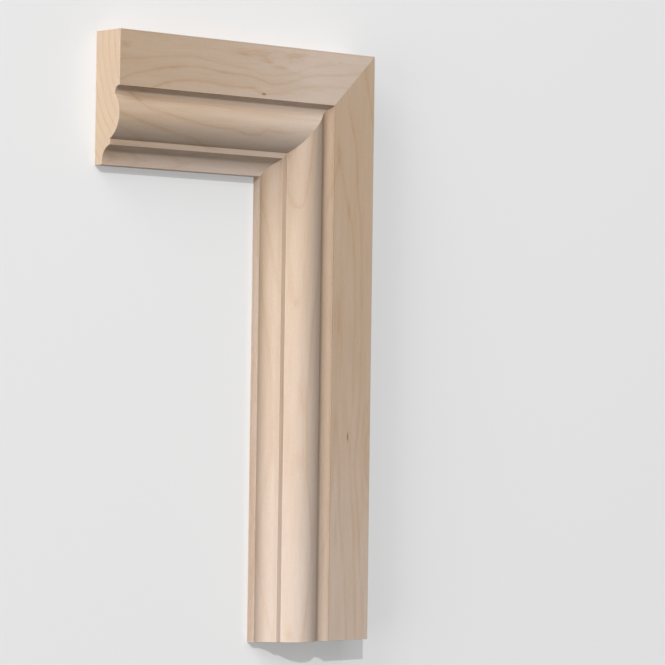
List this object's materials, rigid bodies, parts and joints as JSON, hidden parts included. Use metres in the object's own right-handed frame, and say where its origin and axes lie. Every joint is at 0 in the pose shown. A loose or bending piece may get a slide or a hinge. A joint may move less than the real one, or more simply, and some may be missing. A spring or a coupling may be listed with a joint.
{
  "type": "architrave moulding",
  "caption": "Mitred corner of a timber door architrave: a head and a leg with a flat band, quirk, bead, fillet and cavetto, to trim round a doorway.",
  "frame": {"origin": "on the floor under the middle of the corner's outer box, with the moulding lying on its flat back", "axes": "+X along the head towards the mitre, +Y up the leg from its foot to the mitre, +Z out of the moulded face"},
  "size_m": [0.178, 0.322, 0.02],
  "materials": {
    "head_timber": "planed and sanded maple, bare, grain along the head",
    "leg_timber": "planed and sanded maple, bare, grain along the leg"
  },
  "bodies": {
    "root": {"architrave_head": "head_timber", "architrave_leg": "leg_timber"}
  },
  "joints": []
}
